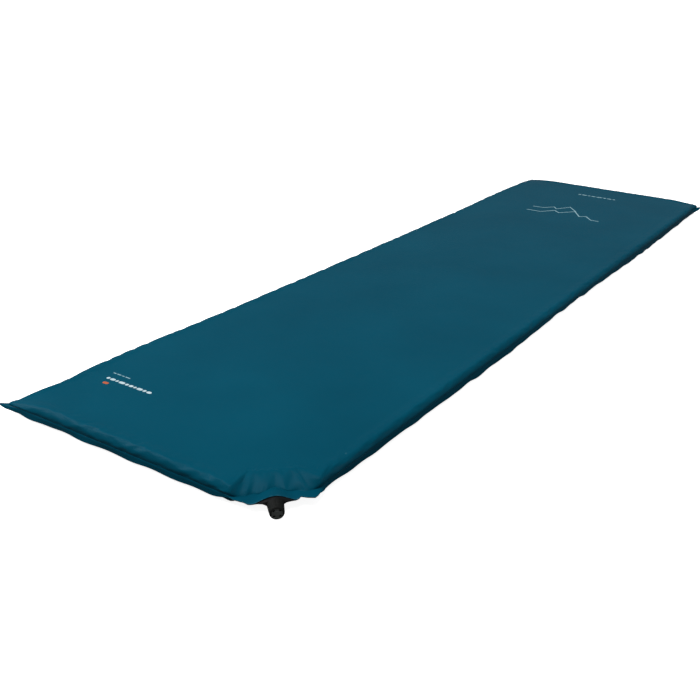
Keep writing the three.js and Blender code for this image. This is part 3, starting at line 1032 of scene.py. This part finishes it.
def foam_look(name):
    """Open-cell foam: pale, matte and full of small pores."""
    look = Look(name)
    place = look.object_place()
    pores = look.node("TexVoronoi", {"Vector": place, "Scale": 900.0}).outputs["Distance"]
    broad = look.noise(place, 14.0, 3.0)
    colour = look.mix(look.ramp(broad, 0.3, 0.7), tint(226, 219, 196), tint(206, 197, 168))
    # The pores are tinted darker: painted shade in their hollows.
    colour = look.mix(look.ramp(pores, 0.0, 0.35, 0.6, 0.0), colour, tint(150, 140, 112))
    normal = look.bump(pores, 0.0004, 0.8)
    return look.finish(Base_Color=colour, Roughness=0.95, Normal=normal, Specular_IOR_Level=0.2)


def ink(name, pale, worn):
    """Screen-printed ink: the cloth's yarns show through it a little."""
    look = Look(name)
    place = look.object_place()
    grain = look.noise(place, 1800.0, 2.0)
    broad = look.noise(place, 120.0, 2.0)
    colour = look.mix(look.ramp(grain, 0.45, 0.7, 0.0, 0.35), pale, worn)
    colour = look.mix(look.ramp(broad, 0.4, 0.7, 0.0, 0.25), colour, worn)
    normal = look.bump(grain, 0.00003, 0.5)
    return look.finish(Base_Color=colour, Roughness=0.6, Normal=normal, Specular_IOR_Level=0.3)


# The fourth colour of each set is the weld's darker tint: partly the seam's own tone, partly painted shade.
TEAL = tint(2, 73, 94), tint(3, 77, 98), tint(1, 69, 89), tint(1, 63, 83)
TOP_CLOTH = fabric("top_cloth", *TEAL, 0.34)
UNDERSIDE = tint(3, 66, 86), tint(5, 71, 91), tint(2, 60, 80), tint(1, 56, 75)
BOTTOM_CLOTH = fabric("bottom_cloth", *UNDERSIDE, 0.46)
FOAM = foam_look("foam")
# The cap's last colour is the lighter tint of its end face: painted light.
CAP_PLASTIC = moulded("cap_plastic", tint(13, 15, 14), tint(24, 26, 25), 0.66, 2600.0, 0.14, tint(84, 87, 86))
STEM_PLASTIC = moulded("stem_plastic", tint(30, 32, 33), tint(44, 46, 47), 0.4, 2600.0, 0.45)
SOFT_PLASTIC = moulded("soft_plastic", tint(12, 13, 15), tint(22, 22, 24), 0.65, 1800.0, 0.15)
RUBBER = moulded("seal_rubber", tint(24, 24, 25), tint(36, 36, 37), 0.6, 3000.0, 0.4)
PALE_INK = ink("pale_ink", tint(196, 214, 220), tint(120, 158, 170))
FAINT_INK = ink("faint_ink", tint(150, 188, 198), tint(110, 150, 162))
ORANGE_INK = ink("orange_ink", tint(186, 92, 56), tint(140, 78, 54))


def place_piece(piece, body, material, stands_for=None):
    piece.data.materials.append(material)
    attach(piece, body)
    if stands_for:
        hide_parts(stands_for)


# ---------------------------------------------------------------- making the object

above = sheet_rings(1)
below = sheet_rings(-1)
above = blown_up(above, 1, 20)
below = blown_up(below, -1, 40)
grid, fill = fill_inside(above[-1])

mat_top = sheet_piece("mat_top", above, 1, grid, fill)
mat_bottom = sheet_piece("mat_bottom", below, -1, grid, fill)
foam_slab = foam_piece("foam_slab", above, below)
place_piece(mat_top, "mat", TOP_CLOTH, "top_sheet")
place_piece(mat_bottom, "mat", BOTTOM_CLOTH, "bottom_sheet")
place_piece(foam_slab, "mat", FOAM, "foam_core")

place_piece(valve_base("valve_boat"), "mat", SOFT_PLASTIC, "valve_base")
place_piece(valve_cap("screw_cap"), "cap", CAP_PLASTIC, "valve_cap")

BARS = bar_row((-186, -784), (6, 10, 5, 12, 6, 8, 5, 11, 6, 9), gap=1.7, width=5.8)
DASHES = bar_row((-191, -767), (6, 9, 5, 10), gap=2, width=1.8)
ACCENT = rounded_bar((-173.5, -798), length=11, width=6)
RIDGE = line_bars(RIDGE_LINE, 3) + line_bars(RIDGE_BACK, 2.6)
FOOT_DASHES = bar_row((-54, 795), (9, 14, 8, 12, 17, 9, 13, 8), gap=2.6, width=6)
place_piece(printed("printed_bars", BARS), "mat", PALE_INK)
place_piece(printed("printed_dashes", DASHES), "mat", FAINT_INK)
place_piece(printed("printed_accent", [ACCENT]), "mat", ORANGE_INK)
place_piece(printed("printed_ridge", RIDGE), "mat", FAINT_INK)
place_piece(printed("printed_foot_dashes", FOOT_DASHES), "mat", FAINT_INK)


def finish_cad_node(node, material, sharp=35):
    """Smooth shading and a real material on a turned part that stays as CAD made it."""
    data = frame["nodes"][node].data
    data.materials.clear()
    data.materials.append(material)
    data.shade_smooth()
    data.set_sharp_from_angle(angle=sharp * DEG)


finish_cad_node("valve_stem", STEM_PLASTIC)
finish_cad_node("stem_o_ring", RUBBER, 60)
finish_cad_node("cap_gasket", RUBBER)

# ---------------------------------------------------------------- the studio


def studio_floor(height):
    """A plain pale floor. It lights the object less than it shows, as a matte sweep in a dark studio does."""
    look = Look("floor")
    lit = look.node("BsdfDiffuse", {"Color": (0.92, 0.92, 0.92, 1)})
    glow = look.node("Emission", {"Color": (1, 1, 1, 1), "Strength": 0.88})
    shown = look.node("AddShader", {0: lit.outputs[0], 1: glow.outputs[0]})
    bounced = look.node("BsdfDiffuse", {"Color": (0.12, 0.12, 0.12, 1)})
    seen = look.node("LightPath").outputs["Is Camera Ray"]
    mixed = look.node("MixShader", {0: seen, 1: bounced.outputs[0], 2: shown.outputs[0]})
    look.tree.links.new(mixed.outputs[0], look.node("OutputMaterial").inputs["Surface"])
    reach = 60
    corners = [Vector((x * reach, y * reach, height)) for x, y in ((-1, -1), (1, -1), (1, 1), (-1, 1))]
    data = bpy.data.meshes.new("studio_floor")
    data.from_pydata(corners, [], [(0, 1, 2, 3)])
    data.materials.append(look.material)
    link(bpy.data.objects.new("studio_floor", data))


def studio_sky(shown, lit):
    """A white sky, with one strength where it is seen and another where it lights the object."""
    world = bpy.data.worlds.new("studio")
    world.use_nodes = True
    tree = world.node_tree
    tree.nodes.clear()
    path = tree.nodes.new("ShaderNodeLightPath")
    backs = []
    for strength in (lit, shown):
        back = tree.nodes.new("ShaderNodeBackground")
        back.inputs[0].default_value = (1, 1, 1, 1)
        back.inputs[1].default_value = strength
        backs.append(back)
    mixed = tree.nodes.new("ShaderNodeMixShader")
    tree.links.new(path.outputs["Is Camera Ray"], mixed.inputs[0])
    tree.links.new(backs[0].outputs[0], mixed.inputs[1])
    tree.links.new(backs[1].outputs[0], mixed.inputs[2])
    output = tree.nodes.new("ShaderNodeOutputWorld")
    tree.links.new(mixed.outputs[0], output.inputs[0])
    bpy.context.scene.world = world


def soft_sun(name, towards, spread, strength):
    """A wide soft light from far off, shining along towards."""
    lamp = bpy.data.lights.new(name, "SUN")
    lamp.angle = spread * DEG
    lamp.energy = strength
    light = link(bpy.data.objects.new(name, lamp))
    light.rotation_mode = "QUATERNION"
    light.rotation_quaternion = Vector(towards).to_track_quat("-Z", "Y")


def soft_panel(name, place, target, size, power):
    """A square light panel at place, facing target."""
    lamp = bpy.data.lights.new(name, "AREA")
    lamp.size = size
    lamp.energy = power
    light = link(bpy.data.objects.new(name, lamp))
    light.location = place
    light.rotation_mode = "QUATERNION"
    light.rotation_quaternion = (Vector(target) - Vector(place)).to_track_quat("-Z", "Y")


bpy.context.scene.view_settings.view_transform = "Standard"
studio_floor(-0.0003)
studio_sky(shown=1.0, lit=0.2)
soft_sun("overhead_light", (0.1, 0.2, -1), 45, 2.25)
soft_panel("left_light", (-1.4, -1.4, 1.0), (-0.2, -0.85, 0.02), 1.0, 17)
soft_panel("right_light", (1.8, 0.1, 0.3), (0.25, 0.0, 0.02), 0.5, 6)
